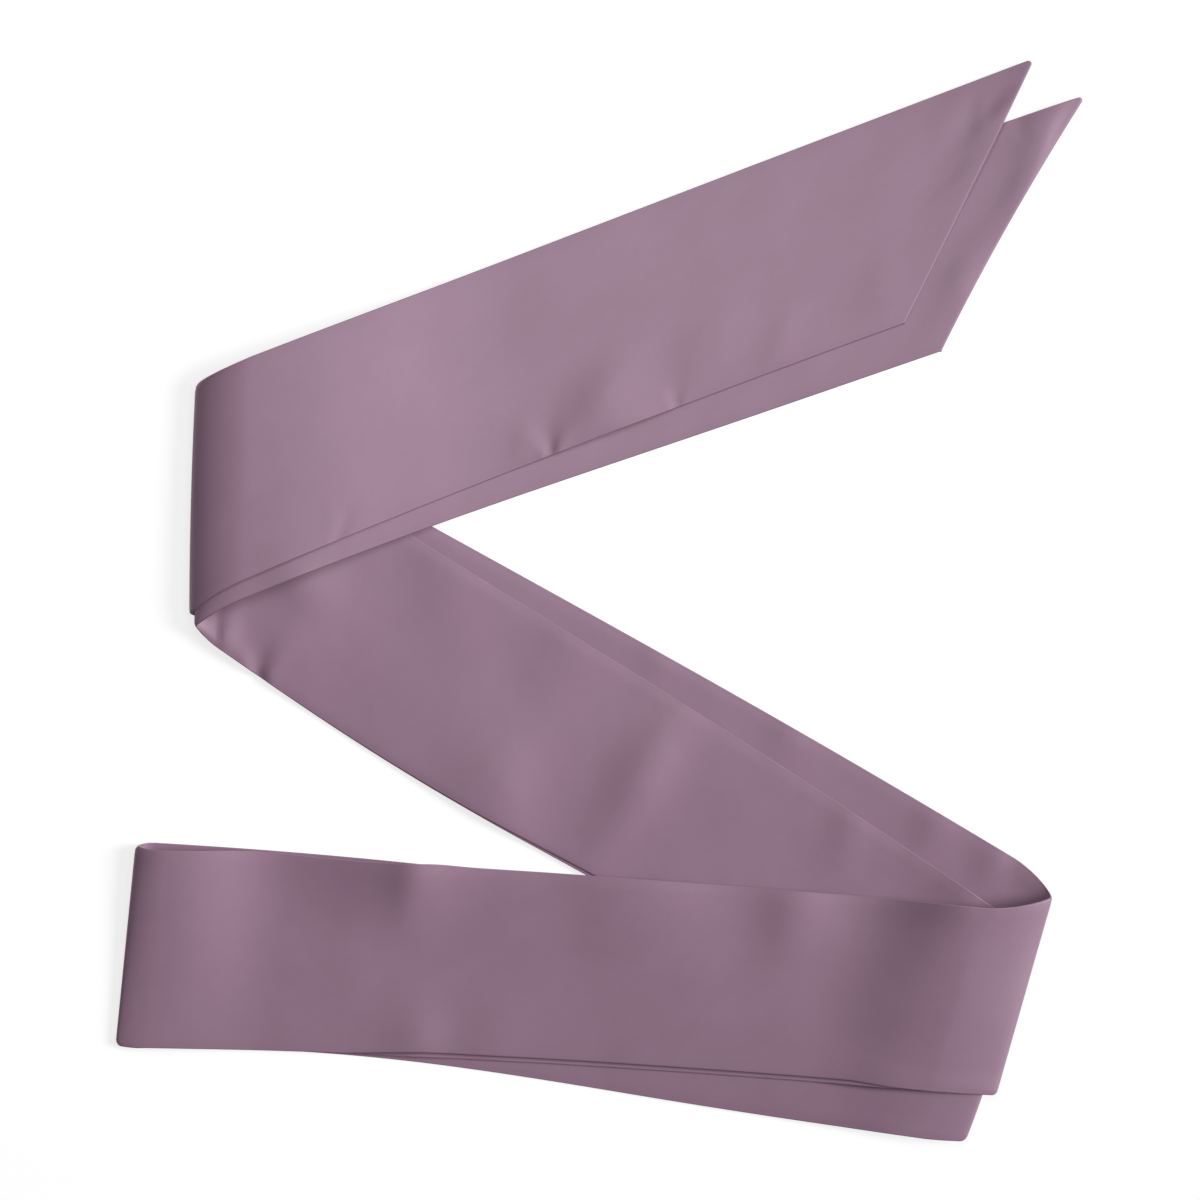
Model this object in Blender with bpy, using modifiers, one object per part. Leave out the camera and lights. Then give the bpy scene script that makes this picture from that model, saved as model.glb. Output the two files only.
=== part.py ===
"""A satin sash, doubled in half and laid down in three zigzag stretches.

The sash is one flat sewn tube of cloth. Doubled, it has an outer half and an inner half that lie on
each other: at each turn the outer half goes round the inner one. One object is one stretch of one half.
Sizes are in millimetres and become metres when a mesh is made. +Z is up and the cloth rests on z = 0.
"""

from collections import namedtuple

import bmesh
import bpy
import numpy as np

MM = 0.001
WALL = 1.4  # two plies of satin and the air between them, one wall here
LAYER_GAP = 0.3  # air between one layer of the sash and the next
SEAM_GAP = 0.3  # slit between two nodes of the same half
ROW_SPACING = 15.0  # length of a wall section along a stretch
COLUMNS = 8  # wall sections across the sash
TURN_ROWS = 6  # wall sections in each quarter of a turn
NOSE_BLUNTNESS = 2.3  # 2 makes the quarters of a turn elliptical, more makes them squarer
CORNER_CUT = 1.8  # how far the two corners of a pointed end are taken back
END_HOLLOW = {"top_outer": -0.4, "top_inner": 3.2}  # how far a pointed end's edge curves in
HOLD = 3.0  # how far a layer stays up past the edge of a layer beneath it
DRAPE = 36.0  # length over which it then comes down
RIM_BEVEL = 0.45
RIM_ANGLE = 60.0  # edges of the wall sharper than this are bevelled

# A long edge of a stretch in plan, from its left end to its right end. Square to the straight line
# between them it rises by "bow" at mid-length, and by "sway" at a quarter, dipping at three quarters.
Edge = namedtuple("Edge", "left_x left_y right_x right_y bow sway")
# "folded" is the smooth upper edge and "seam" the sewn lower one. "below" are the stretches it lies on.
Stretch = namedtuple("Stretch", "folded seam below")
STRETCHES = {
    "middle_outer": Stretch(
        folded=Edge(-208.6, 105.6, 232.6, -144.4, bow=2.6, sway=-0.6),
        seam=Edge(-209.6, -5.0, 202.5, -251.4, bow=0.0, sway=0.0),
        below=[],
    ),
    "middle_inner": Stretch(
        folded=Edge(-205.0, 100.6, 218.3, -168.8, bow=3.0, sway=-1.0),
        seam=Edge(-206.8, -16.2, 186.2, -273.4, bow=5.6, sway=-5.8),
        below=["middle_outer"],
    ),
    "top_inner": Stretch(
        folded=Edge(-204.5, 103.5, 248.0, 257.6, bow=0.4, sway=0.0),
        seam=Edge(-206.8, -10.2, 173.9, 126.6, bow=3.1, sway=1.0),
        below=["middle_outer", "middle_inner"],
    ),
    "top_outer": Stretch(
        folded=Edge(-207.1, 111.9, 221.6, 276.25, bow=0.4, sway=0.0),
        seam=Edge(-209.0, -2.6, 155.0, 140.6, bow=3.2, sway=0.3),
        below=["middle_outer", "middle_inner", "top_inner"],
    ),
    "bottom_inner": Stretch(
        folded=Edge(-236.1, -123.2, 218.3, -175.4, bow=5.0, sway=1.0),
        seam=Edge(-246.3, -228.2, 185.6, -277.4, bow=8.0, sway=3.0),
        below=["middle_outer", "middle_inner"],
    ),
    "bottom_outer": Stretch(
        folded=Edge(-237.2, -127.0, 229.0, -159.1, bow=2.8, sway=0.0),
        seam=Edge(-246.6, -228.2, 202.5, -253.0, bow=4.2, sway=0.2),
        below=["middle_outer", "middle_inner", "bottom_inner"],
    ),
}

# A turn, where the cloth leaves one stretch and comes back above it. Its nose is a line in plan from
# its head (upper end) to its foot. The cloth is flat on the lower stretch up to "floor_reach" from the
# nose and arches down to the nose from "roof_reach". The upper stretch is puffed up there by
# "puff_head" and "puff_foot", and settles over the length "fade".
Turn = namedtuple(
    "Turn",
    "lower upper head_x head_y foot_x foot_y bulge floor_reach roof_reach fade puff_head puff_foot",
)
TURNS = {
    "left_outer": Turn(
        "middle_outer", "top_outer", -206.0, 108.1, -209.0, -5.6,
        bulge=0.7, floor_reach=13.0, roof_reach=30.0, fade=75.0, puff_head=5.0, puff_foot=6.5,
    ),
    "left_inner": Turn(
        "middle_inner", "top_inner", -203.0, 103.5, -206.8, -14.8,
        bulge=0.6, floor_reach=12.0, roof_reach=20.0, fade=70.0, puff_head=3.4, puff_foot=5.2,
    ),
    "right_outer": Turn(
        "middle_outer", "bottom_outer", 229.0, -155.6, 202.8, -248.6,
        bulge=0.0, floor_reach=13.0, roof_reach=26.0, fade=70.0, puff_head=14.0, puff_foot=6.0,
    ),
    "right_inner": Turn(
        "middle_inner", "bottom_inner", 216.5, -168.8, 187.0, -273.4,
        bulge=5.0, floor_reach=10.0, roof_reach=16.0, fade=60.0, puff_head=5.0, puff_foot=4.0,
    ),
    "end_turn": Turn(
        "bottom_inner", "bottom_outer", -236.6, -126.0, -246.8, -226.0,
        bulge=0.0, floor_reach=10.0, roof_reach=18.0, fade=50.0, puff_head=5.0, puff_foot=5.5,
    ),
}

# Soft swells of the layer that shows, in plan: centre, heading of the ridge, half-length, half-width, height
Swell = namedtuple("Swell", "stretch x y heading half_length half_width rise")
SWELLS = [
    Swell("top_outer", -10.0, 105.0, 30.0, 60.0, 22.0, 1.6),
    Swell("top_outer", 95.0, 165.0, 65.0, 50.0, 20.0, 1.4),
    Swell("middle_inner", 28.0, -78.0, 50.0, 48.0, 17.0, 2.4),
    Swell("middle_inner", -165.0, -18.0, 60.0, 24.0, 10.0, 1.6),
    Swell("bottom_outer", -84.0, -150.0, 84.0, 40.0, 16.0, 2.2),
    Swell("bottom_outer", 98.0, -165.0, 84.0, 42.0, 18.0, 2.2),
]

SATIN_COLOUR = (0.33, 0.20, 0.28, 1.0)
SATIN_ROUGHNESS = 0.45


def smooth_step(x):
    """0 below 0, 1 above 1, with level ends between them."""
    x = np.clip(x, 0.0, 1.0)
    return x * x * (3.0 - 2.0 * x)


def chord(edge):
    """The edge's left end, and its straight line's unit direction, upward normal and length."""
    left = np.array([edge.left_x, edge.left_y])
    line = np.array([edge.right_x, edge.right_y]) - left
    length = np.hypot(*line)
    direction = line / length
    return left, direction, np.array([-direction[1], direction[0]]), length


def rise(edge, t):
    return edge.bow * 4.0 * t * (1.0 - t) + edge.sway * np.sin(2.0 * np.pi * t)


def edge_points(edge, t):
    """Plan points of a long edge at the fractions t of its length."""
    left, direction, normal, length = chord(edge)
    t = np.asarray(t, float)[..., None]
    return left + direction * length * t + normal * rise(edge, t)


def above_edge(edge, plan):
    """How far plan points lie above a long edge, negative below it."""
    left, direction, normal, length = chord(edge)
    t = np.clip((plan - left) @ direction / length, 0.0, 1.0)
    return (plan - left) @ normal - rise(edge, t)


def nose_frame(turn):
    """The nose line's head, the unit direction down it, the one into the stack, and its length."""
    head = np.array([turn.head_x, turn.head_y])
    line = np.array([turn.foot_x, turn.foot_y]) - head
    length = np.hypot(*line)
    down = line / length
    inward = np.array([-down[1], down[0]])
    return head, down, inward if head[0] < 0.0 else -inward, length


def beyond(name, plan):
    """How far plan points lie outside a stretch, negative inside it."""
    stretch = STRETCHES[name]
    sides = [above_edge(stretch.folded, plan), -above_edge(stretch.seam, plan)]
    for turn in TURNS.values():
        if name in (turn.lower, turn.upper):
            head, _, inward, _ = nose_frame(turn)
            sides.append(-(plan - head) @ inward)
    if name.startswith("top"):
        tip = np.array([stretch.folded.right_x, stretch.folded.right_y])
        cut = np.array([stretch.seam.right_x, stretch.seam.right_y]) - tip
        sides.append((plan - tip) @ np.array([-cut[1], cut[0]]) / np.hypot(*cut))
    return np.max(sides, axis=0)


def puff(turn, plan):
    """How much a turn lifts the stretch above it."""
    head, down, inward, length = nose_frame(turn)
    distance = (plan - head) @ inward
    share = np.clip((plan - head) @ down / length, 0.0, 1.0)
    height = turn.puff_head + (turn.puff_foot - turn.puff_head) * share
    return height * (1.0 - smooth_step((distance - turn.roof_reach) / turn.fade))


def swelling(swell, plan):
    heading = np.radians(swell.heading)
    ridge = np.array([np.cos(heading), np.sin(heading)])
    offset = plan - np.array([swell.x, swell.y])
    along = offset @ ridge / swell.half_length
    across = offset @ np.array([-ridge[1], ridge[0]]) / swell.half_width
    return swell.rise * np.exp(-along * along - across * across)


def height(name, plan):
    """Height of the middle of the wall at plan points of a stretch."""
    z = np.full(plan.shape[:-1], WALL / 2)
    for lower in STRETCHES[name].below:
        z = z + (WALL + LAYER_GAP) * (1.0 - smooth_step((beyond(lower, plan) - HOLD) / DRAPE))
    for turn in TURNS.values():
        if turn.upper == name:
            z = z + puff(turn, plan)
    for swell in SWELLS:
        if swell.stretch == name:
            z = z + swelling(swell, plan)
    return z


def share_at(edge, turn, reach):
    """The fraction of an edge's length at which it is "reach" away from a turn's nose."""
    head, _, inward, _ = nose_frame(turn)
    t = np.linspace(0.0, 1.0, 401)
    distance = (edge_points(edge, t) - head) @ inward
    order = np.argsort(distance)
    return np.interp(reach, distance[order], t[order])


def ends_of(name, gap=0.0):
    """Fractions where a stretch's flat part starts and ends, as (seam, folded) pairs."""
    stretch = STRETCHES[name]
    ends = {"left": (0.0, 0.0), "right": (1.0, 1.0)}
    for turn in TURNS.values():
        if name in (turn.lower, turn.upper):
            reach = turn.roof_reach if name == turn.upper else turn.floor_reach + gap
            side = "left" if turn.head_x < 0.0 else "right"
            ends[side] = tuple(share_at(edge, turn, reach) for edge in (stretch.seam, stretch.folded))
    return np.array(ends["left"]), np.array(ends["right"])


def ruling(name, shares, across):
    """Plan points from the seam edge to the folded edge, at one (seam, folded) pair of fractions."""
    stretch = STRETCHES[name]
    seam = edge_points(stretch.seam, shares[0])
    folded = edge_points(stretch.folded, shares[1])
    return seam + (folded - seam) * across[:, None]


def flat_rows(name, across):
    """Wall sections of a stretch between its turns, left to right."""
    left, right = ends_of(name, SEAM_GAP)
    length = np.hypot(*(ruling(name, right, across[:1]) - ruling(name, left, across[:1]))[0])
    count = round(length / ROW_SPACING)
    rows = []
    for share in np.linspace(0.0, 1.0, count + 1):
        plan = ruling(name, left + (right - left) * share, across)
        rows.append(np.column_stack([plan, height(name, plan)]))
    return rows


def pointed_end_rows(name, across):
    """The last two sections of a top stretch: one of full width, then one short of each corner."""
    stretch = STRETCHES[name]
    lengthwise = chord(stretch.folded)[1]
    span = np.hypot(*(edge_points(stretch.folded, 1.0) - edge_points(stretch.seam, 1.0)))
    inset = CORNER_CUT / span
    hollow = END_HOLLOW[name] * 4.0 * across * (1.0 - across)
    full_width = ruling(name, np.full(2, 1.0 - CORNER_CUT / chord(stretch.seam)[3]), across)
    end_edge = ruling(name, np.ones(2), inset + across * (1.0 - 2.0 * inset))
    rows = []
    for plan in (full_width, end_edge):
        plan = plan - np.outer(hollow, lengthwise)
        rows.append(np.column_stack([plan, height(name, plan)]))
    return rows


def turn_rows(turn, across):
    """Wall sections round a turn, from the lower stretch up to the start of the upper one."""
    head, down, inward, length = nose_frame(turn)
    side = 0 if head[0] < 0.0 else 1
    names = (turn.lower, turn.upper)
    rims = [ruling(name, ends_of(name)[side], across) for name in names]
    rim_heights = [height(name, rim) for name, rim in zip(names, rims)]
    nose_height = sum(rim_heights) / 2
    nose_axial = sum((ruling(name, (side, side), across) - head) @ down for name in names) / 2
    angles = np.linspace(0.0, np.pi / 2, TURN_ROWS + 1)
    forward = np.cos(angles) ** (2.0 / NOSE_BLUNTNESS)
    upward = np.sin(angles) ** (2.0 / NOSE_BLUNTNESS)
    quarters = []
    for reach, rim, rim_height in zip((turn.floor_reach, turn.roof_reach), rims, rim_heights):
        distance = reach - (reach - WALL / 2) * forward
        z = nose_height + np.outer(upward, rim_height - nose_height)
        steps = np.hypot(np.diff(distance)[:, None], np.diff(z, axis=0))
        travelled = np.vstack([np.zeros(len(across)), np.cumsum(steps, axis=0)])
        axial = nose_axial + ((rim - head) @ down - nose_axial) * travelled / travelled[-1]
        along_nose = np.clip(axial / length, 0.0, 1.0)
        bulge = turn.bulge * 4.0 * along_nose * (1.0 - along_nose) * forward[:, None]
        plan = head + axial[..., None] * down + (distance[:, None] - bulge)[..., None] * inward
        quarters.append(np.dstack([plan, z]))
    floor_quarter, roof_quarter = quarters
    return list(floor_quarter[::-1]) + list(roof_quarter[1:-1])


def wall(name, rows, collection):
    """A cloth wall on a grid whose points are moved to the given sections."""
    points = np.array(rows) * MM
    row_count, column_count = points.shape[:2]
    mesh = bpy.data.meshes.new(name)
    grid = bmesh.new()
    bmesh.ops.create_grid(grid, x_segments=row_count - 1, y_segments=column_count - 1, size=0.5)
    for vertex in grid.verts:
        row = round((vertex.co.x + 0.5) * (row_count - 1))
        column = round((vertex.co.y + 0.5) * (column_count - 1))
        vertex.co = points[row, column]
    grid.to_mesh(mesh)
    grid.free()
    mesh.shade_smooth()
    mesh.materials.append(satin(name))
    sheet = bpy.data.objects.new(name, mesh)
    collection.objects.link(sheet)

    thicken = sheet.modifiers.new("Wall", "SOLIDIFY")
    thicken.thickness = WALL * MM
    thicken.offset = 0.0
    thicken.use_even_offset = True
    thicken.use_quality_normals = True
    rim = sheet.modifiers.new("Rim", "BEVEL")
    rim.width = RIM_BEVEL * MM
    rim.segments = 1
    rim.limit_method = "ANGLE"
    rim.angle_limit = np.radians(RIM_ANGLE)
    return sheet


def satin(name):
    material = bpy.data.materials.new(name + "_satin")
    material.use_nodes = True
    shader = material.node_tree.nodes["Principled BSDF"]
    shader.inputs["Base Color"].default_value = SATIN_COLOUR
    shader.inputs["Roughness"].default_value = SATIN_ROUGHNESS
    shader.inputs["Metallic"].default_value = 0.0
    return material


def clear_scene():
    for item in list(bpy.data.objects):
        bpy.data.objects.remove(item)


def main():
    clear_scene()
    sash = bpy.data.collections.new("sash")
    bpy.context.scene.collection.children.link(sash)
    across = np.linspace(0.0, 1.0, COLUMNS + 1)

    for half in ("outer", "inner"):
        wall("middle_" + half, flat_rows("middle_" + half, across), sash)
        top = "top_" + half
        top_rows = turn_rows(TURNS["left_" + half], across) + flat_rows(top, across)[:-1]
        wall(top, top_rows + pointed_end_rows(top, across), sash)
        bottom_rows = flat_rows("bottom_" + half, across) + turn_rows(TURNS["right_" + half], across)[::-1]
        if half == "outer":
            bottom_rows = turn_rows(TURNS["end_turn"], across) + bottom_rows
        wall("bottom_" + half, bottom_rows, sash)


main()
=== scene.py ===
"""The satin sash as it shows: a thin flat tube of cloth, doubled and laid down in a zigzag.

The stretches have the edges of the frame's solids, apart from two small bumps, and the turns lie where
theirs do. The heights of the turns, and the swells and puckers on the stretches, are this script's own.
On that form it lays two plies of satin with a seam and pressed edges.
Sizes are in millimetres and angles in degrees, and a mesh's points become metres when it is made. The
studio's sizes are in metres.
"""

from collections import namedtuple

import bmesh
import bpy
import numpy as np
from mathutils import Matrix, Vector


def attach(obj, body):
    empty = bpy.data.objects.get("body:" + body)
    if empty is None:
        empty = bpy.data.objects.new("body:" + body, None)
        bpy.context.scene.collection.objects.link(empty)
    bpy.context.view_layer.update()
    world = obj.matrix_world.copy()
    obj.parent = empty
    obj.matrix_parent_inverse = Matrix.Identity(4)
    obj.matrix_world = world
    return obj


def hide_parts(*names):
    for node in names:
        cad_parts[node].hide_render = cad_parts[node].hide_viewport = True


MM = 0.001
SASH_WIDTH = 104.0
WALL = 1.0  # from the face of one ply to the face of the other
EDGE_WALL = 0.76  # the same at the two pressed long edges
EDGE_TAPER = 5.0  # how far in from them the full thickness is reached
CLOTH = 0.2  # thickness of one ply
SEAM_DEPTH = 0.34  # of the groove along the seam
SEAM_WIDTH = 0.5  # half the groove's width
PAINTED_SEAM_SHADE = (0.4, 1.1)  # the painted shade of the seam's groove, a dark line, fades out between these distances from it

LAYER_GAP = 0.3  # air between one layer of the sash and the next
HOLD = 3.0  # how far a layer stays up past the edge of a layer beneath it
DRAPE = 110.0  # length over which it then comes down
UNEVEN = 0.32  # mean height by which the stack lies uneven
UNEVEN_BROAD_SHARE = 0.75  # of that height in broad waves, the rest in fine ones
WANDER_BROAD = 2.2  # how far the folds are moved about in plan, in broad waves
WANDER_FINE = 1.4  # and in fine ones
PINCH_RIDGES = 1.3  # how strong the low ridges beside a pinch are
PINCH_REACH = 3.0  # how far along a pinch is followed, in its lengths; it has faded by then

FLOOR_BLUNTNESS = 1.95  # of the lower quarter of a turn: 2 is an ellipse, more is squarer
SLOPE_STEP = 4.0  # over which the direction of an edge is taken where a turn starts
TIP_RADIUS = 1.7  # in plan, of the sharp corner of a pointed end
FOOT_RADIUS = 1.2  # of its blunt corner
END_ROUNDING = 2.2  # over which the two plies come together at a pointed end
END_HOLLOW = {"top_outer": -0.4, "top_inner": 3.2}  # how far a pointed end's edge curves in
END_HOLLOW_FADE = 60.0  # how far from the end that curve has gone

ROW_SPACING = 2.6  # between the lines across the cloth
ROW_SPACING_BELOW = 5.0  # the same on the stretches in MOSTLY_BELOW
MOSTLY_BELOW = ("middle_outer", "bottom_inner")  # these lie mostly under others
TURN_ROWS = 10  # lines across in each quarter of a turn
LAST_EVEN_ROW = 3.0  # where the even lines stop before a pointed end, in END_ROUNDINGs
NEAR_END_ROWS = (2.4, 1.9, 1.5, 1.2)  # the lines after it, in END_ROUNDINGs
END_ROWS = 7  # lines across in the rounding itself
EDGE_STEP = 0.26  # between the lines along the cloth next to the seam
EDGE_STEPS = 14  # how many of those there are
MIDDLE_STEP = 2.4  # between the lines along the middle of the cloth
FOLD_STEPS = (2.0, 1.3, 0.7)  # distances of the last such lines from the folded edge
FOLD_LINES = 4  # lines round the folded edge
EDGE_SAMPLES = 401  # places along an edge where its distance from a turn is worked out
WELD = 0.02  # points of a pointed end closer than this become one

FLOOR_SIDE = 12.0
FLOOR_DROP = 0.00005  # keeps the floor's face clear of the cloth that lies on it
CAMERA_DISTANCE = 2.6
FRAME_WIDTH = 0.612  # what the camera's frame takes in on the floor
SENSOR_WIDTH = 36.0  # in millimetres, as the camera has it

# A long edge of a stretch in plan, from its left end to its right end. Square to the straight line
# between them it rises by "bow" at mid-length, and by "sway" at a quarter, dipping at three quarters.
Edge = namedtuple("Edge", "left_x left_y right_x right_y bow sway")
# "folded" is the smooth upper edge and "seam" the sewn lower one. "below" are the stretches it lies on.
Stretch = namedtuple("Stretch", "folded seam below")
STRETCHES = {
    "middle_outer": Stretch(
        folded=Edge(-208.6, 105.6, 232.6, -144.4, bow=2.6, sway=-0.6),
        seam=Edge(-209.6, -5.0, 202.5, -251.4, bow=0.0, sway=0.0),
        below=[],
    ),
    "middle_inner": Stretch(
        folded=Edge(-205.0, 100.6, 218.3, -168.8, bow=3.0, sway=-1.0),
        seam=Edge(-206.8, -16.2, 186.2, -273.4, bow=5.6, sway=-5.8),
        below=["middle_outer"],
    ),
    "top_inner": Stretch(
        folded=Edge(-204.5, 103.5, 248.0, 257.6, bow=0.4, sway=0.0),
        seam=Edge(-206.8, -10.2, 173.9, 126.6, bow=3.1, sway=1.0),
        below=["middle_outer", "middle_inner"],
    ),
    "top_outer": Stretch(
        folded=Edge(-207.1, 111.9, 221.6, 276.25, bow=0.4, sway=0.0),
        seam=Edge(-209.0, -2.6, 155.0, 140.6, bow=3.2, sway=0.3),
        below=["middle_outer", "middle_inner", "top_inner"],
    ),
    "bottom_inner": Stretch(
        folded=Edge(-236.1, -123.2, 218.3, -175.4, bow=5.0, sway=1.0),
        seam=Edge(-246.3, -228.2, 185.6, -277.4, bow=8.0, sway=3.0),
        below=["middle_outer", "middle_inner"],
    ),
    "bottom_outer": Stretch(
        folded=Edge(-237.2, -127.0, 229.0, -159.1, bow=2.8, sway=0.0),
        seam=Edge(-246.6, -228.2, 202.5, -253.0, bow=4.2, sway=0.2),
        below=["middle_outer", "middle_inner", "bottom_inner"],
    ),
}

# A turn, where the cloth leaves one stretch and comes back above it. Its nose is a line in plan from
# its head (upper end) to its foot. The cloth is flat on the lower stretch up to "floor_reach" from the
# nose and arches down to the nose from "roof_reach". The upper stretch is puffed up there by
# "puff_head" and "puff_foot", and settles over the length "fade". "level" is the nose's height as a
# share of the way up between the two stretches, and "bluntness" the shape of the arch: 2 is an ellipse,
# more is squarer. "head_drop" and "foot_drop" move the cloth's two edges down along the nose, and the
# radii round its two corners in plan.
Turn = namedtuple(
    "Turn",
    "lower upper head_x head_y foot_x foot_y bulge floor_reach roof_reach fade puff_head puff_foot"
    " level bluntness head_drop foot_drop head_radius foot_radius",
)
TURNS = {
    "left_outer": Turn(
        "middle_outer", "top_outer", -206.0, 108.1, -209.0, -5.6,
        bulge=0.7, floor_reach=13.0, roof_reach=28.0, fade=150.0, puff_head=10.0, puff_foot=11.0,
        level=0.36, bluntness=1.75, head_drop=-2.0, foot_drop=3.6, head_radius=3.4, foot_radius=1.6,
    ),
    "left_inner": Turn(
        "middle_inner", "top_inner", -202.6, 103.5, -206.4, -14.8,
        bulge=0.2, floor_reach=12.0, roof_reach=25.0, fade=150.0, puff_head=8.4, puff_foot=9.0,
        level=0.36, bluntness=1.75, head_drop=0.0, foot_drop=0.0, head_radius=3.0, foot_radius=1.4,
    ),
    "right_outer": Turn(
        "middle_outer", "bottom_outer", 229.0, -155.6, 202.8, -248.6,
        bulge=0.0, floor_reach=24.0, roof_reach=34.0, fade=68.0, puff_head=11.6, puff_foot=5.4,
        level=0.42, bluntness=1.4, head_drop=0.0, foot_drop=0.8, head_radius=0.9, foot_radius=2.8,
    ),
    "right_inner": Turn(
        "middle_inner", "bottom_inner", 216.5, -168.8, 187.0, -273.4,
        bulge=2.6, floor_reach=10.0, roof_reach=26.0, fade=58.0, puff_head=7.6, puff_foot=3.0,
        level=0.5, bluntness=1.75, head_drop=0.0, foot_drop=1.0, head_radius=1.0, foot_radius=3.8,
    ),
    "end_turn": Turn(
        "bottom_inner", "bottom_outer", -236.6, -126.0, -246.8, -226.0,
        bulge=0.0, floor_reach=10.0, roof_reach=16.0, fade=66.0, puff_head=8.2, puff_foot=2.0,
        level=0.5, bluntness=1.75, head_drop=0.0, foot_drop=-1.0, head_radius=2.2, foot_radius=3.6,
    ),
}

# Soft swells and hollows of the layer that shows, in plan: centre, heading of the ridge, half-length,
# half-width, height. On the right of its heading a swell may be "steeper" by a factor, and is gentler
# there if the factor is below 1.
Swell = namedtuple("Swell", "stretch x y heading half_length half_width rise steeper", defaults=[1.0])
SWELLS = [
    Swell("top_outer", 0.0, 97.0, 52.0, 24.0, 14.0, 3.2, steeper=0.55),
    Swell("top_outer", 22.0, 96.0, 55.0, 26.0, 22.0, 1.2),
    Swell("top_outer", -24.0, 74.0, 97.0, 16.0, 15.0, 0.9),
    Swell("top_outer", 58.0, 128.0, 58.0, 22.0, 13.0, 1.1),
    Swell("top_outer", -40.0, 78.0, 75.0, 12.0, 7.0, 0.5),
    Swell("top_outer", 93.0, 134.0, 70.0, 17.0, 10.0, 0.9),
    Swell("top_outer", 146.0, 216.0, 60.0, 28.0, 14.0, 0.7),
    Swell("top_outer", 146.0, 156.0, 75.0, 14.0, 9.0, 0.8),
    Swell("top_outer", 180.0, 246.0, 65.0, 14.0, 7.0, 0.6),
    Swell("top_outer", 214.0, 240.0, 62.0, 46.0, 16.0, 2.4),
    Swell("top_outer", 194.5, 246.0, 78.0, 9.0, 3.5, 0.6),
    Swell("top_outer", 200.0, 240.0, 41.0, 20.0, 5.0, 1.2),
    Swell("top_outer", 188.0, 219.0, 41.0, 22.0, 6.0, 1.3),
    Swell("top_outer", -104.0, 142.0, 80.0, 30.0, 16.0, 0.3),
    Swell("top_inner", 203.0, 194.5, 60.0, 66.0, 8.0, 1.3),
    Swell("top_inner", 188.0, 162.0, 58.0, 14.0, 6.0, 1.0),
    Swell("top_inner", 211.0, 209.0, 52.0, 14.0, 6.0, 0.5),
    Swell("top_inner", 231.0, 241.0, 60.0, 28.0, 15.0, 2.4, steeper=2.0),
    Swell("top_inner", 215.0, 239.0, -58.0, 9.0, 3.0, -0.5),
    Swell("middle_inner", 24.0, -86.0, 57.0, 44.0, 13.0, 3.4),
    Swell("middle_inner", -54.0, -98.0, 62.0, 36.0, 33.0, 3.5, steeper=1.6),
    Swell("middle_inner", -14.0, -22.0, 65.0, 26.0, 16.0, 1.4),
    Swell("middle_inner", -74.0, 10.0, 60.0, 26.0, 20.0, 1.0),
    Swell("middle_inner", 128.0, -110.0, 65.0, 22.0, 10.0, 1.4),
    Swell("middle_inner", 194.0, -137.0, 75.0, 28.0, 20.0, 4.4, steeper=1.6),
    Swell("middle_inner", -150.0, -12.0, 60.0, 40.0, 26.0, 2.0),
    Swell("middle_inner", -182.0, -24.0, 60.0, 24.0, 19.0, 1.8),
    Swell("middle_inner", -193.5, -22.0, 65.0, 14.0, 6.5, 2.2),
    Swell("middle_inner", -146.0, 6.0, 70.0, 15.0, 16.0, 1.5),
    Swell("middle_outer", 30.0, -29.0, 70.0, 16.0, 10.0, 1.0),
    Swell("middle_outer", 97.0, -66.0, 70.0, 18.0, 12.0, 1.5),
    Swell("middle_outer", 170.0, -111.0, 70.0, 16.0, 9.0, 1.7),
    Swell("middle_outer", 199.0, -130.0, 70.0, 14.0, 8.0, 1.9),
    Swell("bottom_outer", -95.0, -131.0, 78.0, 28.0, 46.0, 7.4, steeper=1.9),
    Swell("bottom_outer", -97.0, -138.0, 82.0, 24.0, 11.0, 1.1),
    Swell("bottom_outer", 20.0, -145.0, 76.0, 28.0, 28.0, 3.0),
    Swell("bottom_outer", 100.0, -153.0, 84.0, 25.0, 17.0, 3.0),
    Swell("bottom_outer", -97.0, -219.0, 75.0, 18.0, 13.0, 1.6),
    Swell("bottom_outer", -52.0, -220.0, 80.0, 18.0, 15.0, 0.6),
]

# Where the sewn edge pinches the cloth, a fold runs in from it: start, heading, length, half-width at
# the edge, by how much it widens, depth. It has a low ridge on either side.
Pinch = namedtuple("Pinch", "stretch x y heading length half_width widening depth")
PINCHES = [
    Pinch("top_outer", -25.0, 74.0, 97.0, 14.0, 2.2, 8.0, 1.2),
    Pinch("top_outer", 39.0, 98.5, 97.0, 9.0, 2.2, 5.0, 0.8),
    Pinch("top_outer", -130.0, 39.0, 70.0, 8.0, 4.0, 5.0, 0.35),
    Pinch("middle_inner", -174.0, -37.0, 86.0, 20.0, 5.2, 9.0, 1.6),
    Pinch("middle_inner", -198.5, -22.0, 60.0, 11.0, 2.0, 2.0, 0.5),
]

# Where a long edge departs a little from its smooth line: place and half-width as fractions of its
# length, and rise.
BUMPS = {
    STRETCHES["bottom_outer"].folded: [(0.13, 0.07, 2.0), (0.33, 0.03, 0.8)],
}

# How far the seam has rolled onto the upper face, at places given as fractions from the left end of a
# stretch to its right end
SEAM_ROLL = {
    "middle_inner": [(0.0, 0.0), (0.35, 0.4), (0.6, 2.4), (1.0, 2.6)],
    "bottom_outer": [(0.25, 0.0), (0.35, 2.2), (0.9, 2.2), (0.95, 0.5), (1.0, 0.0)],
}

# A piece of cloth is a list of runs, each a stretch from one end to the other or a turn. The ends of a
# stretch are "left" and "right", where a turn starts, "point", or "joint", a place where the end of one
# piece meets the next out of sight under the upper layers. A joint is given as fractions of the seam
# edge and of the folded edge.
Run = namedtuple("Run", "name start end")
JOINTS = {"middle_outer": (0.12, 0.17)}
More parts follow.
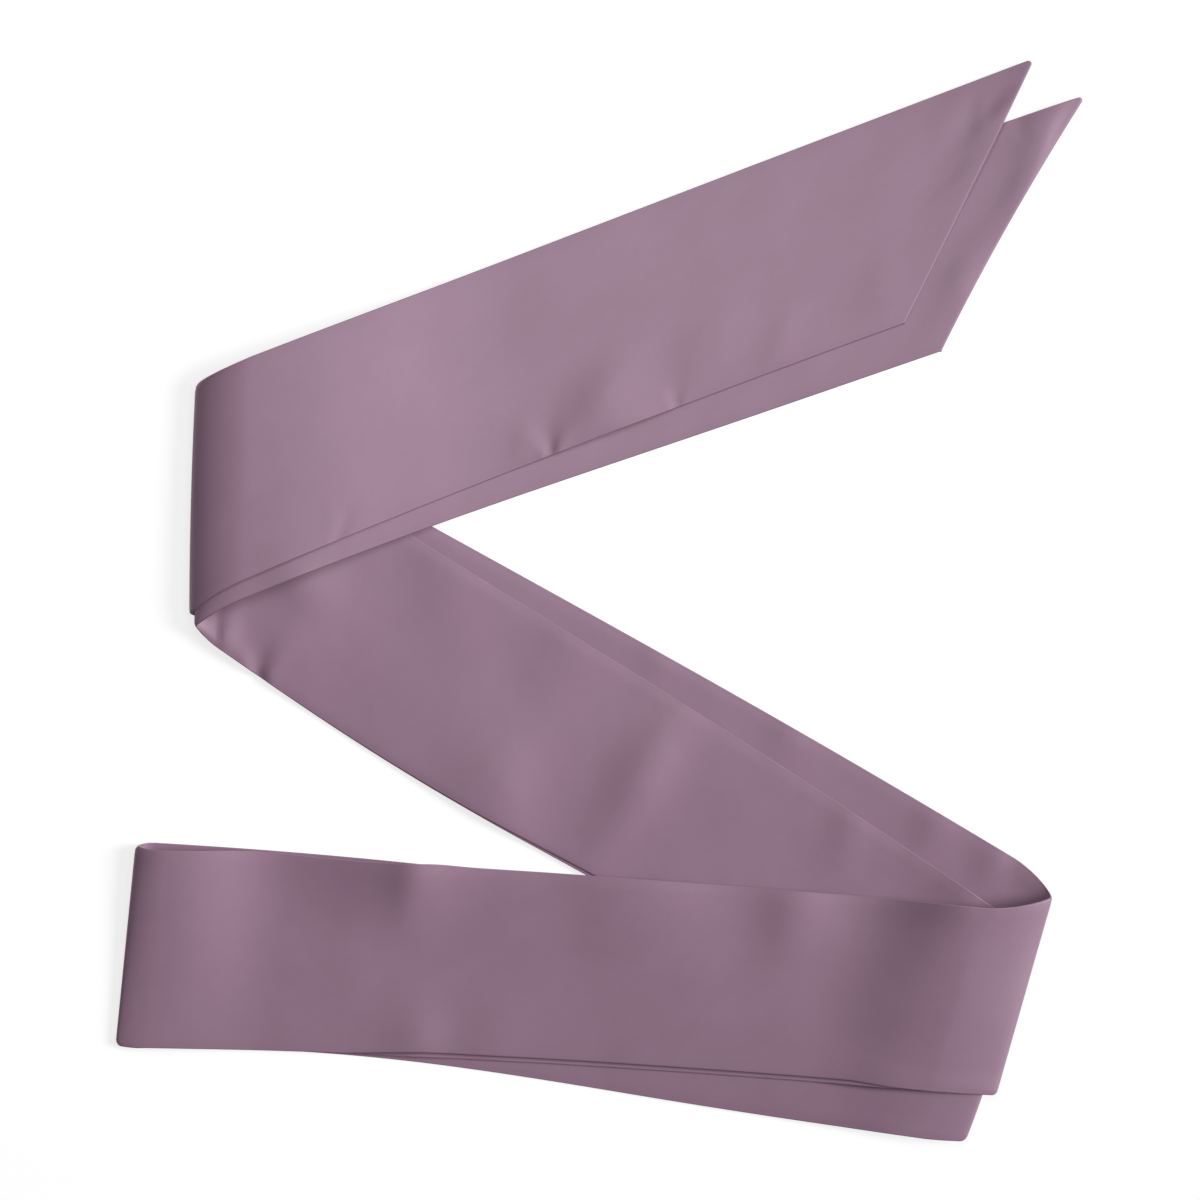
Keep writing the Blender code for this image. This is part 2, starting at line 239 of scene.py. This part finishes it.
# "nodes" are the solids that the piece takes the place of.
Piece = namedtuple("Piece", "name nodes runs rests_on")
PIECES = [
    Piece(
        "inner_half", ("middle_inner", "top_inner"),
        [
            Run("middle_inner", "right", "left"),
            Run("left_inner", "lower", "upper"),
            Run("top_inner", "left", "point"),
        ],
        ["outer_half_and_turned_end"],
    ),
    Piece(
        "outer_top", ("top_outer",),
        [
            Run("middle_outer", "joint", "left"),
            Run("left_outer", "lower", "upper"),
            Run("top_outer", "left", "point"),
        ],
        ["inner_half"],
    ),
    Piece(
        "outer_half_and_turned_end", ("bottom_inner", "bottom_outer", "middle_outer"),
        [
            Run("right_inner", "lower", "upper"),
            Run("bottom_inner", "right", "left"),
            Run("end_turn", "lower", "upper"),
            Run("bottom_outer", "left", "right"),
            Run("right_outer", "upper", "lower"),
            Run("middle_outer", "right", "joint"),
        ],
        ["inner_half"],
    ),
]


def smooth_step(x):
    """0 below 0, 1 above 1, with level ends between them."""
    x = np.clip(x, 0.0, 1.0)
    return x**3 * (10.0 + x * (6.0 * x - 15.0))


def unit(vectors):
    return vectors / np.linalg.norm(vectors, axis=-1, keepdims=True)


def chord(edge):
    """The edge's left end, and its straight line's unit direction, upward normal and length."""
    left = np.array([edge.left_x, edge.left_y])
    line = np.array([edge.right_x, edge.right_y]) - left
    length = np.hypot(*line)
    direction = line / length
    return left, direction, np.array([-direction[1], direction[0]]), length


def rise(edge, t):
    """How far an edge lies above its straight line, at the fractions t of its length."""
    up = edge.bow * 4.0 * t * (1.0 - t) + edge.sway * np.sin(2.0 * np.pi * t)
    for place, half_width, bump in BUMPS.get(edge, []):
        up = up + bump * np.exp(-(((t - place) / half_width) ** 2))
    return up


def edge_points(edge, t):
    """Plan points of a long edge at the fractions t of its length."""
    left, direction, normal, length = chord(edge)
    t = np.asarray(t, float)[..., None]
    return left + direction * length * t + normal * rise(edge, t)


def above_edge(edge, plan):
    """How far plan points lie above a long edge, negative below it."""
    left, direction, normal, length = chord(edge)
    t = np.clip((plan - left) @ direction / length, 0.0, 1.0)
    return (plan - left) @ normal - rise(edge, t)


def nose_frame(turn):
    """The nose line's head, the unit direction down it, the one into the stack, and its length."""
    head = np.array([turn.head_x, turn.head_y])
    line = np.array([turn.foot_x, turn.foot_y]) - head
    length = np.hypot(*line)
    down = line / length
    inward = np.array([-down[1], down[0]])
    return head, down, inward if head[0] < 0.0 else -inward, length


def beyond(name, plan):
    """How far plan points lie outside a stretch, negative inside it."""
    stretch = STRETCHES[name]
    sides = [above_edge(stretch.folded, plan), -above_edge(stretch.seam, plan)]
    for turn in TURNS.values():
        if name in (turn.lower, turn.upper):
            head, _, inward, _ = nose_frame(turn)
            sides.append(-(plan - head) @ inward)
    if name.startswith("top"):
        tip = np.array([stretch.folded.right_x, stretch.folded.right_y])
        cut = np.array([stretch.seam.right_x, stretch.seam.right_y]) - tip
        sides.append((plan - tip) @ np.array([-cut[1], cut[0]]) / np.hypot(*cut))
    return np.max(sides, axis=0)


def puff(turn, plan):
    """How much a turn lifts the stretch above it."""
    head, down, inward, length = nose_frame(turn)
    distance = (plan - head) @ inward
    share = np.clip((plan - head) @ down / length, 0.0, 1.0)
    height_there = turn.puff_head + (turn.puff_foot - turn.puff_head) * share
    return height_there * (1.0 - smooth_step((distance - turn.roof_reach) / turn.fade))


def crosswise(feature, plan):
    """Distances of plan points along a feature's heading and square to it."""
    heading = np.radians(feature.heading)
    ridge = np.array([np.cos(heading), np.sin(heading)])
    offset = plan - np.array([feature.x, feature.y])
    return offset @ ridge, offset @ np.array([-ridge[1], ridge[0]])


def wander(plan):
    """Plan points moved about a little, so that no fold runs dead straight.

    What x and y are divided by is a wavelength over two pi.
    """
    x, y = plan[..., 0], plan[..., 1]
    to_x = WANDER_BROAD * np.sin(y / 17.0 + 1.4 * np.sin(x / 37.0))
    to_x = to_x + WANDER_FINE * np.sin(x / 13.0 + y / 29.0)
    to_y = WANDER_BROAD * np.sin(x / 23.0 + 1.7 * np.sin(y / 31.0))
    to_y = to_y + WANDER_FINE * np.sin(y / 11.0 - x / 41.0)
    return plan + np.stack([to_x, to_y], axis=-1)


def swelling(swell, plan):
    """What a swell adds to the height at plan points."""
    along, across = crosswise(swell, wander(plan))
    across = np.where(across < 0.0, across * swell.steeper, across)
    return swell.rise * np.exp(-((along / swell.half_length) ** 2) - (across / swell.half_width) ** 2)


def pinching(pinch, plan):
    """What a pinch adds to the height at plan points, below zero in its fold."""
    along, across = crosswise(pinch, plan)
    run = np.clip(along / pinch.length, 0.0, PINCH_REACH)
    width = pinch.half_width + pinch.widening * run
    square = (across / width) ** 2
    return -pinch.depth * np.exp(-run * run) * (1.0 - PINCH_RIDGES * square) * np.exp(-square)


def half_wall(from_edge):
    """Half the thickness of the flat tube at a distance from its nearer long edge."""
    return EDGE_WALL / 2 + (WALL - EDGE_WALL) / 2 * smooth_step(from_edge / EDGE_TAPER)


def unevenness(plan):
    """The slight lie of the whole stack, in waves whose lengths are given as in wander."""
    x, y = wander(plan)[..., 0], wander(plan)[..., 1]
    broad = np.sin(x / 21.0 + y / 34.0 + 0.8) * np.sin(y / 19.0 - x / 47.0 + 2.1)
    fine = np.sin(x / 9.5 - y / 16.0 + 1.7) * np.sin(y / 10.5 + x / 23.0 + 0.4)
    return UNEVEN * (UNEVEN_BROAD_SHARE * (1.0 + broad) + (1.0 - UNEVEN_BROAD_SHARE) * (1.0 + fine))


def height(name, plan):
    """Height of the middle of the cloth, between its plies, at plan points of a stretch."""
    stretch = STRETCHES[name]
    from_edge = np.minimum(above_edge(stretch.seam, plan), -above_edge(stretch.folded, plan))
    z = half_wall(from_edge) + unevenness(plan)
    for lower in stretch.below:
        z = z + (WALL + LAYER_GAP) * (1.0 - smooth_step((beyond(lower, plan) - HOLD) / DRAPE))
    for turn in TURNS.values():
        if turn.upper == name:
            z = z + puff(turn, plan)
    for swell in SWELLS:
        if swell.stretch == name or swell.stretch in stretch.below:
            z = z + swelling(swell, plan)
    for pinch in PINCHES:
        if pinch.stretch == name:
            z = z + pinching(pinch, plan)
    return z


def share_at(edge, turn, reach):
    """The fraction of an edge's length at which it is "reach" away from a turn's nose."""
    head, _, inward, _ = nose_frame(turn)
    t = np.linspace(0.0, 1.0, EDGE_SAMPLES)
    distance = (edge_points(edge, t) - head) @ inward
    order = np.argsort(distance)
    return np.interp(reach, distance[order], t[order])


def ends_of(name):
    """Fractions where a stretch's flat part ends on either side, as (seam, folded) pairs."""
    stretch = STRETCHES[name]
    ends = {"left": (0.0, 0.0), "right": (1.0, 1.0)}
    for turn in TURNS.values():
        if name in (turn.lower, turn.upper):
            reach = turn.roof_reach if name == turn.upper else turn.floor_reach
            side = "left" if turn.head_x < 0.0 else "right"
            ends[side] = tuple(share_at(edge, turn, reach) for edge in (stretch.seam, stretch.folded))
    ends["joint"] = JOINTS.get(name, (0.0, 0.0))
    ends["point"] = (1.0, 1.0)
    return {end: np.array(shares) for end, shares in ends.items()}


def ruling(name, shares, across):
    """Plan points from the seam edge to the folded edge, at one (seam, folded) pair of fractions."""
    stretch = STRETCHES[name]
    seam = edge_points(stretch.seam, shares[0])
    folded = edge_points(stretch.folded, shares[1])
    return seam + (folded - seam) * across[:, None]


def with_height(name, plan):
    return np.column_stack([plan, height(name, plan)])


def stretch_rows(run, across):
    """Lines across a stretch, with z, from one of its ends to another."""
    ends = ends_of(run.name)
    start, end = ends[run.start], ends[run.end]
    if run.end == "point":
        return pointed_rows(run.name, start, across)
    seam_start, seam_end = edge_points(STRETCHES[run.name].seam, [start[0], end[0]])
    length = np.hypot(*(seam_end - seam_start))
    spacing = ROW_SPACING_BELOW if run.name in MOSTLY_BELOW else ROW_SPACING
    count = round(length / spacing)
    shares = [start + (end - start) * share for share in np.linspace(0.0, 1.0, count + 1)]
    return [with_height(run.name, ruling(run.name, share, across)) for share in shares]


def rounded_corner(plan, corner, along_one, along_other, radius):
    """Plan points with the corner between two edges rounded; both unit directions leave the corner."""
    middle = unit(along_one + along_other)
    side = np.array([-middle[1], middle[0]])
    half_angle = np.arccos(along_one @ middle)
    centre = radius / np.sin(half_angle)
    reach = centre - radius * np.sin(half_angle)
    inwards = (plan - corner) @ middle
    sideways = (plan - corner) @ side
    share = np.clip(sideways / (np.maximum(inwards, 1e-9) * np.tan(half_angle)), -1.0, 1.0)
    moved = centre - radius + (reach - centre + radius) * inwards / reach
    half_width = np.sqrt(np.maximum(radius**2 - (moved - centre) ** 2, 0.0))
    rounded = corner + moved[:, None] * middle + (share * half_width)[:, None] * side
    return np.where((inwards < reach)[:, None], rounded, plan)


def pointed_rows(name, start, across):
    """Lines across a top stretch up to its pointed end, closing in on it in small steps."""
    seam, folded = STRETCHES[name].seam, STRETCHES[name].folded
    lengthwise = chord(folded)[1]
    tip, foot = edge_points(folded, 1.0), edge_points(seam, 1.0)
    up_the_end = unit(tip - foot)
    seam_length = chord(seam)[3] * (1.0 - start[0])
    count = round(seam_length / ROW_SPACING)
    to_end = np.linspace(seam_length, LAST_EVEN_ROW * END_ROUNDING, count)
    near_end = END_ROUNDING * np.array(NEAR_END_ROWS)
    round_end = END_ROUNDING * (1.0 - np.cos(np.linspace(np.pi / 2, 0.0, END_ROWS)))
    rows = []
    for distance in np.concatenate([to_end, near_end, round_end]):
        shares = 1.0 - (1.0 - start) * distance / seam_length
        plan = ruling(name, shares, across)
        plan = rounded_corner(plan, tip, -lengthwise, -up_the_end, TIP_RADIUS)
        plan = rounded_corner(plan, foot, -chord(seam)[1], up_the_end, FOOT_RADIUS)
        deepest = END_HOLLOW[name] * (1.0 - smooth_step(distance / END_HOLLOW_FADE))
        hollow = deepest * 4.0 * across * (1.0 - across)
        rows.append(with_height(name, plan - np.outer(hollow, lengthwise)))
    return rows


def set_back(from_edge, radius):
    """How far a rounded corner lies behind the square one, at distances from one of the cloth's edges."""
    return radius - np.sqrt(radius**2 - np.maximum(radius - from_edge, 0.0) ** 2)


def nose_corners(turn, across):
    """How far the rounded corners of a turn lie behind its nose, at each line along the cloth."""
    at_foot = set_back(SASH_WIDTH * across, turn.foot_radius)
    return at_foot + set_back(SASH_WIDTH * (1.0 - across), turn.head_radius)


def nose_places(turn, across):
    """Where the lines along the cloth cross a turn's nose, measured down it from its head."""
    head, down, _, _ = nose_frame(turn)
    outer_end = (0.0, 0.0) if turn.head_x < 0.0 else (1.0, 1.0)
    places = [(ruling(name, outer_end, across) - head) @ down for name in (turn.lower, turn.upper)]
    drop = turn.head_drop * across + turn.foot_drop * (1.0 - across)
    return sum(places) / 2 + drop


def turn_quarter(turn, name, rim, nose_height, across):
    """Lines across the cloth from a turn's nose to its rim, where one of its two stretches starts.

    Seen from the side they follow a quarter of an ellipse, or one that "bluntness" changes. The lines
    along the cloth leave the stretch in its own direction and bend to their places on the nose.
    """
    head, down, inward, length = nose_frame(turn)
    stretch = STRETCHES[name]
    reach = turn.floor_reach if name == turn.lower else turn.roof_reach
    bluntness = FLOOR_BLUNTNESS if name == turn.lower else turn.bluntness
    angles = np.linspace(0.0, np.pi / 2, TURN_ROWS + 1)
    forward = np.cos(angles) ** (2.0 / bluntness)
    upward = np.sin(angles) ** (2.0 / bluntness)
    distance = reach - (reach - WALL / 2) * forward
    z = nose_height + np.outer(upward, rim[:, 2] - nose_height)

    steps = np.hypot(np.diff(distance)[:, None], np.diff(z, axis=0))
    travelled = np.vstack([np.zeros(len(across)), np.cumsum(steps, axis=0)])
    onward = 1.0 - travelled / travelled[-1]
    rim_axial = (rim[:, :2] - head) @ down
    further = [share_at(edge, turn, reach + SLOPE_STEP) for edge in (stretch.seam, stretch.folded)]
    slope = (rim_axial - (ruling(name, further, across) - head) @ down) / SLOPE_STEP
    straight = slope * travelled[-1]
    bend = nose_places(turn, across) - rim_axial - straight
    axial = rim_axial + straight * onward + bend * onward**2

    along_nose = np.clip(axial / length, 0.0, 1.0)
    bulge = turn.bulge * 4.0 * along_nose * (1.0 - along_nose) * forward[:, None]
    inwards = distance[:, None] + np.outer(forward, nose_corners(turn, across)) - bulge
    plan = head + axial[..., None] * down + inwards[..., None] * inward
    return np.dstack([plan, z])


def turn_rows(run, across):
    """Lines round a turn, from the lower stretch up to the upper one, or back."""
    turn = TURNS[run.name]
    side = "left" if turn.head_x < 0.0 else "right"
    names = (turn.lower, turn.upper)
    rims = [with_height(name, ruling(name, ends_of(name)[side], across)) for name in names]
    lower_height, upper_height = rims[0][:, 2], rims[1][:, 2]
    nose_height = lower_height + turn.level * (upper_height - lower_height)
    floor_quarter = turn_quarter(turn, turn.lower, rims[0], nose_height, across)
    roof_quarter = turn_quarter(turn, turn.upper, rims[1], nose_height, across)
    rows = list(floor_quarter[::-1]) + list(roof_quarter[1:])
    return rows if run.start == "lower" else rows[::-1]


def seam_roll(run, count):
    """How far the seam has rolled at each line across, below zero on a run to the left."""
    if run.name not in SEAM_ROLL:
        return np.zeros(count)
    shares, rolls = zip(*SEAM_ROLL[run.name])
    share = np.linspace(0.0, 1.0, count)
    if run.start == "right":
        return -np.interp(share[::-1], shares, rolls)
    return np.interp(share, shares, rolls)


def cross_section():
    """The lines along the cloth on one face, from the seam edge to the folded edge.

    For each: its distance in from the seam edge, its distance from the middle of the cloth, the same
    distance from the seam edge round the surface, and how far the surface there faces outwards.
    """
    radius = EDGE_WALL / 2
    quarter = radius * np.pi / 2
    travelled = EDGE_STEP * np.arange(EDGE_STEPS + 1)
    angle = np.minimum(travelled / radius, np.pi / 2)
    near_seam = radius * (1.0 - np.cos(angle)) + np.maximum(travelled - quarter, 0.0)
    round_fold = radius * (1.0 - np.cos(np.linspace(np.pi / 2, 0.0, FOLD_LINES)))
    from_fold = np.concatenate([FOLD_STEPS, round_fold])
    middle_end = SASH_WIDTH - from_fold[0]
    count = round((middle_end - near_seam[-1]) / MIDDLE_STEP)
    middle = np.linspace(near_seam[-1], middle_end, count + 1)[1:-1]
    inward = np.concatenate([near_seam, middle, SASH_WIDTH - from_fold])
    from_edge = np.minimum(inward, SASH_WIDTH - inward)
    facing_out = np.clip(1.0 - from_edge / radius, 0.0, 1.0)
    half = half_wall(from_edge) * np.sqrt(1.0 - facing_out**2)
    round_surface = np.where(inward < radius, radius * np.arccos(facing_out), inward - radius + quarter)
    return inward, half, round_surface, facing_out * (inward < radius)


def middle_lines(runs, across):
    """Lines across the middle of the cloth through all its runs, and the seam's roll at each."""
    rows, rolls = [], []
    for run in runs:
        new = turn_rows(run, across) if run.name in TURNS else stretch_rows(run, across)
        skip = 1 if rows else 0
        rolls.extend(seam_roll(run, len(new))[skip:])
        rows.extend(new[skip:])
    return np.array(rows), np.array(rolls)


def tube_points(middle, rolls, fullness, section):
    """The face of the tube at each line across, and how far round it each point lies from the seam.

    A line's points go from the folded edge along one ply to the seam, and back along the other ply.
    """
    _, half, round_surface, facing_out = section
    lengthwise = np.gradient(middle, axis=0)
    inward = unit(np.gradient(middle, axis=1))
    normal = unit(np.cross(lengthwise, inward))

    line_count = len(half)
    lines = list(range(line_count - 1, -1, -1)) + list(range(1, line_count - 1))
    face = np.array([1.0] * line_count + [-1.0] * (line_count - 2))
    face[line_count - 1] = 0.0  # the seam edge is on neither ply
    around = np.where(face >= 0.0, 1.0, -1.0) * round_surface[lines]
    from_seam = around[None, :] - rolls[:, None]
    dip = SEAM_DEPTH * np.exp(-((from_seam / SEAM_WIDTH) ** 2))
    lean = facing_out[lines]
    offset = face * (half[lines] * fullness[:, None] - dip * np.sqrt(1.0 - lean**2))
    points = middle[:, lines] + normal[:, lines] * offset[..., None]
    return points + inward[:, lines] * (dip * lean)[..., None], from_seam


def tube_mesh(name, points):
    """A mesh of quads between neighbouring points, round each line across and from line to line."""
    row_count, loop = points.shape[:2]
    corner = np.arange(row_count * loop).reshape(row_count, loop)
    following = np.roll(corner, -1, axis=1)
    faces = np.stack([corner[:-1], following[:-1], following[1:], corner[1:]], axis=-1)
    mesh = bpy.data.meshes.new(name)
    mesh.from_pydata((points * MM).reshape(-1, 3).tolist(), [], faces.reshape(-1, 4).tolist())
    return mesh


def lay_out(mesh, path, from_seam):
    """UV coordinates in metres, along the cloth and round it from the seam."""
    coordinates = np.empty((*from_seam.shape, 2))
    coordinates[..., 0] = path[:, None] * MM
    coordinates[..., 1] = from_seam * MM
    corners = np.array([loop.vertex_index for loop in mesh.loops])
    layer = mesh.uv_layers.new(name="cloth")
    layer.data.foreach_set("uv", coordinates.reshape(-1, 2)[corners].ravel())


def close_up(mesh, end_points):
    """Join the last points of a mesh, which are those of a pointed end, and turn its faces outwards."""
    body = bmesh.new()
    body.from_mesh(mesh)
    if end_points:
        last = list(body.verts)[-end_points:]
        bmesh.ops.remove_doubles(body, verts=last, dist=WELD * MM)
    bmesh.ops.recalc_face_normals(body, faces=body.faces)
    body.to_mesh(mesh)
    body.free()
    mesh.shade_smooth()


def cloth(piece):
    """One length of the flat tube on the lines of its runs, as an object, and its length."""
    section = cross_section()
    middle, rolls = middle_lines(piece.runs, section[0] / SASH_WIDTH)
    pointed = piece.runs[-1].end == "point"
    fullness = np.ones(len(middle))
    if pointed:
        fullness[-END_ROWS:] = np.sin(np.linspace(np.pi / 2, 0.0, END_ROWS))
    points, from_seam = tube_points(middle, rolls, fullness, section)

    steps = np.linalg.norm(np.diff(middle, axis=0), axis=-1).mean(axis=1)
    path = np.concatenate([[0.0], np.cumsum(steps)])
    mesh = tube_mesh(piece.name, points)
    lay_out(mesh, path, from_seam)
    close_up(mesh, points.shape[1] if pointed else 0)

    sash = bpy.data.objects.new(piece.name, mesh)
    bpy.context.scene.collection.objects.link(sash)
    thicken = sash.modifiers.new("Cloth", "SOLIDIFY")
    thicken.thickness = CLOTH * MM
    thicken.offset = -1.0
    return sash, path[-1]


def dyed_tone(nodes, links, place):
    """The satin's colour, which varies faintly over the cloth."""
    tone = nodes.new("ShaderNodeTexNoise")
    tone.inputs["Scale"].default_value = 38.0
    tone.inputs["Detail"].default_value = 6.0
    tone.inputs["Roughness"].default_value = 0.75
    links.new(place.outputs["UV"], tone.inputs["Vector"])
    ramp = nodes.new("ShaderNodeValToRGB")
    ramp.color_ramp.elements[0].position = 0.3
    ramp.color_ramp.elements[0].color = (0.297, 0.175, 0.254, 1.0)
    ramp.color_ramp.elements[1].position = 0.7
    ramp.color_ramp.elements[1].color = (0.321, 0.191, 0.276, 1.0)
    links.new(tone.outputs["Fac"], ramp.inputs["Fac"])
    return ramp.outputs["Color"]


def painted_seam_shade(nodes, links, place, colour):
    """The same colour with painted shade, a dark line, along the seam's groove."""
    parts = nodes.new("ShaderNodeSeparateXYZ")
    links.new(place.outputs["UV"], parts.inputs["Vector"])
    from_seam = nodes.new("ShaderNodeMath")
    from_seam.operation = "ABSOLUTE"
    links.new(parts.outputs["Y"], from_seam.inputs[0])
    fading = nodes.new("ShaderNodeMapRange")
    fading.interpolation_type = "SMOOTHSTEP"
    fading.inputs["From Min"].default_value = PAINTED_SEAM_SHADE[0] * MM
    fading.inputs["From Max"].default_value = PAINTED_SEAM_SHADE[1] * MM
    links.new(from_seam.outputs[0], fading.inputs["Value"])
    # Painted shade: a dark colour mixed in along the seam, standing in for the shade in its groove
    seam_shaded = nodes.new("ShaderNodeMix")
    seam_shaded.data_type = "RGBA"
    seam_shaded.inputs["A"].default_value = (0.17, 0.09, 0.14, 1.0)
    links.new(fading.outputs["Result"], seam_shaded.inputs["Factor"])
    links.new(colour, seam_shaded.inputs["B"])
    return seam_shaded.outputs["Result"]


def woven_normal(nodes, links, place):
    """A fine bump of threads that run along the cloth."""
    stretched = nodes.new("ShaderNodeMapping")
    stretched.inputs["Scale"].default_value = (900.0, 3200.0, 1.0)
    links.new(place.outputs["UV"], stretched.inputs["Vector"])
    threads = nodes.new("ShaderNodeTexNoise")
    threads.inputs["Scale"].default_value = 1.0
    threads.inputs["Detail"].default_value = 2.0
    links.new(stretched.outputs["Vector"], threads.inputs["Vector"])
    bump = nodes.new("ShaderNodeBump")
    bump.inputs["Strength"].default_value = 0.25
    bump.inputs["Distance"].default_value = 0.08 * MM
    links.new(threads.outputs["Fac"], bump.inputs["Height"])
    return bump.outputs["Normal"]


def satin():
    material = bpy.data.materials.new("satin")
    material.use_nodes = True
    nodes, links = material.node_tree.nodes, material.node_tree.links
    shader = nodes["Principled BSDF"]
    shader.inputs["Roughness"].default_value = 0.47
    shader.inputs["Specular IOR Level"].default_value = 0.5
    shader.inputs["Anisotropic"].default_value = 0.35
    shader.inputs["Sheen Weight"].default_value = 0.12
    shader.inputs["Sheen Roughness"].default_value = 0.4

    place = nodes.new("ShaderNodeUVMap")
    place.uv_map = "cloth"
    tangent = nodes.new("ShaderNodeTangent")
    tangent.direction_type = "UV_MAP"
    tangent.uv_map = "cloth"
    links.new(tangent.outputs["Tangent"], shader.inputs["Tangent"])

    # The satin's tone with the painted shade of the seam's groove
    colour = painted_seam_shade(nodes, links, place, dyed_tone(nodes, links, place))
    links.new(colour, shader.inputs["Base Color"])
    links.new(woven_normal(nodes, links, place), shader.inputs["Normal"])
    return material


def floor_material():
    material = bpy.data.materials.new("floor")
    material.use_nodes = True
    shader = material.node_tree.nodes["Principled BSDF"]
    shader.inputs["Base Color"].default_value = (0.32, 0.32, 0.32, 1.0)
    shader.inputs["Roughness"].default_value = 0.9
    shader.inputs["Specular IOR Level"].default_value = 0.1
    shader.inputs["Emission Color"].default_value = (1.0, 1.0, 1.0, 1.0)
    shader.inputs["Emission Strength"].default_value = 0.76
    return material


def aim(thing, at):
    """Turn an object so that it looks at a point."""
    direction = Vector(at) - thing.location
    thing.rotation_euler = direction.to_track_quat("-Z", "Y").to_euler()


def lamp(kind, name, azimuth, elevation, distance):
    """A lamp that looks at the sash, from a direction and a distance."""
    data = bpy.data.lights.new(name, kind)
    light = bpy.data.objects.new(name, data)
    across, up = np.radians(azimuth), np.radians(elevation)
    direction = (np.cos(up) * np.cos(across), np.cos(up) * np.sin(across), np.sin(up))
    light.location = [distance * part for part in direction]
    bpy.context.scene.collection.objects.link(light)
    aim(light, (0.0, 0.0, 0.0))
    return data


def lay_floor():
    half = FLOOR_SIDE / 2
    mesh = bpy.data.meshes.new("floor")
    corners = [(-half, -half, 0.0), (half, -half, 0.0), (half, half, 0.0), (-half, half, 0.0)]
    mesh.from_pydata(corners, [], [(0, 1, 2, 3)])
    mesh.materials.append(floor_material())
    floor = bpy.data.objects.new("floor", mesh)
    floor.location.z = -FLOOR_DROP
    bpy.context.scene.collection.objects.link(floor)


def light_up():
    """A white room, a broad low key light from the right and a soft fill from above."""
    world = bpy.data.worlds.new("studio")
    world.use_nodes = True
    background = world.node_tree.nodes["Background"]
    background.inputs["Color"].default_value = (1.0, 1.0, 1.0, 1.0)
    background.inputs["Strength"].default_value = 0.08
    bpy.context.scene.world = world
    bpy.context.scene.view_settings.view_transform = "Standard"
    key = lamp("SUN", "key", azimuth=3.0, elevation=28.0, distance=3.0)
    key.angle = np.radians(26.0)
    key.energy = 3.5
    fill = lamp("AREA", "fill", azimuth=85.0, elevation=68.0, distance=0.64)
    fill.shape = "DISK"
    fill.size = 0.5
    fill.energy = 1.5


def place_camera():
    """A camera straight above the sash, with its upper edge to +Y."""
    lens = bpy.data.cameras.new("camera")
    lens.sensor_width = SENSOR_WIDTH
    lens.lens = SENSOR_WIDTH * CAMERA_DISTANCE / FRAME_WIDTH
    camera = bpy.data.objects.new("camera", lens)
    camera.location = (0.0, 0.0, CAMERA_DISTANCE)
    bpy.context.scene.collection.objects.link(camera)
    bpy.context.scene.camera = camera


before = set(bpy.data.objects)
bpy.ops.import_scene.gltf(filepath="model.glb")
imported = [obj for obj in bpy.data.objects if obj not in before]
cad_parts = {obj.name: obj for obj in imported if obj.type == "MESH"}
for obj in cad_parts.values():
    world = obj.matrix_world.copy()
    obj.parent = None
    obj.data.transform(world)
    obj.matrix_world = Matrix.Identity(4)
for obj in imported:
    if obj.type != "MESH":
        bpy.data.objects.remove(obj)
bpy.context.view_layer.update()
lay_floor()
light_up()
place_camera()

satin_material = satin()
pieces = {}
for piece in PIECES:
    sash, length = cloth(piece)
    sash.data.materials.append(satin_material)
    pieces[piece.name] = sash
for piece in PIECES:
    sash = pieces[piece.name]
    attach(sash, "root")
    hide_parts(*piece.nodes)
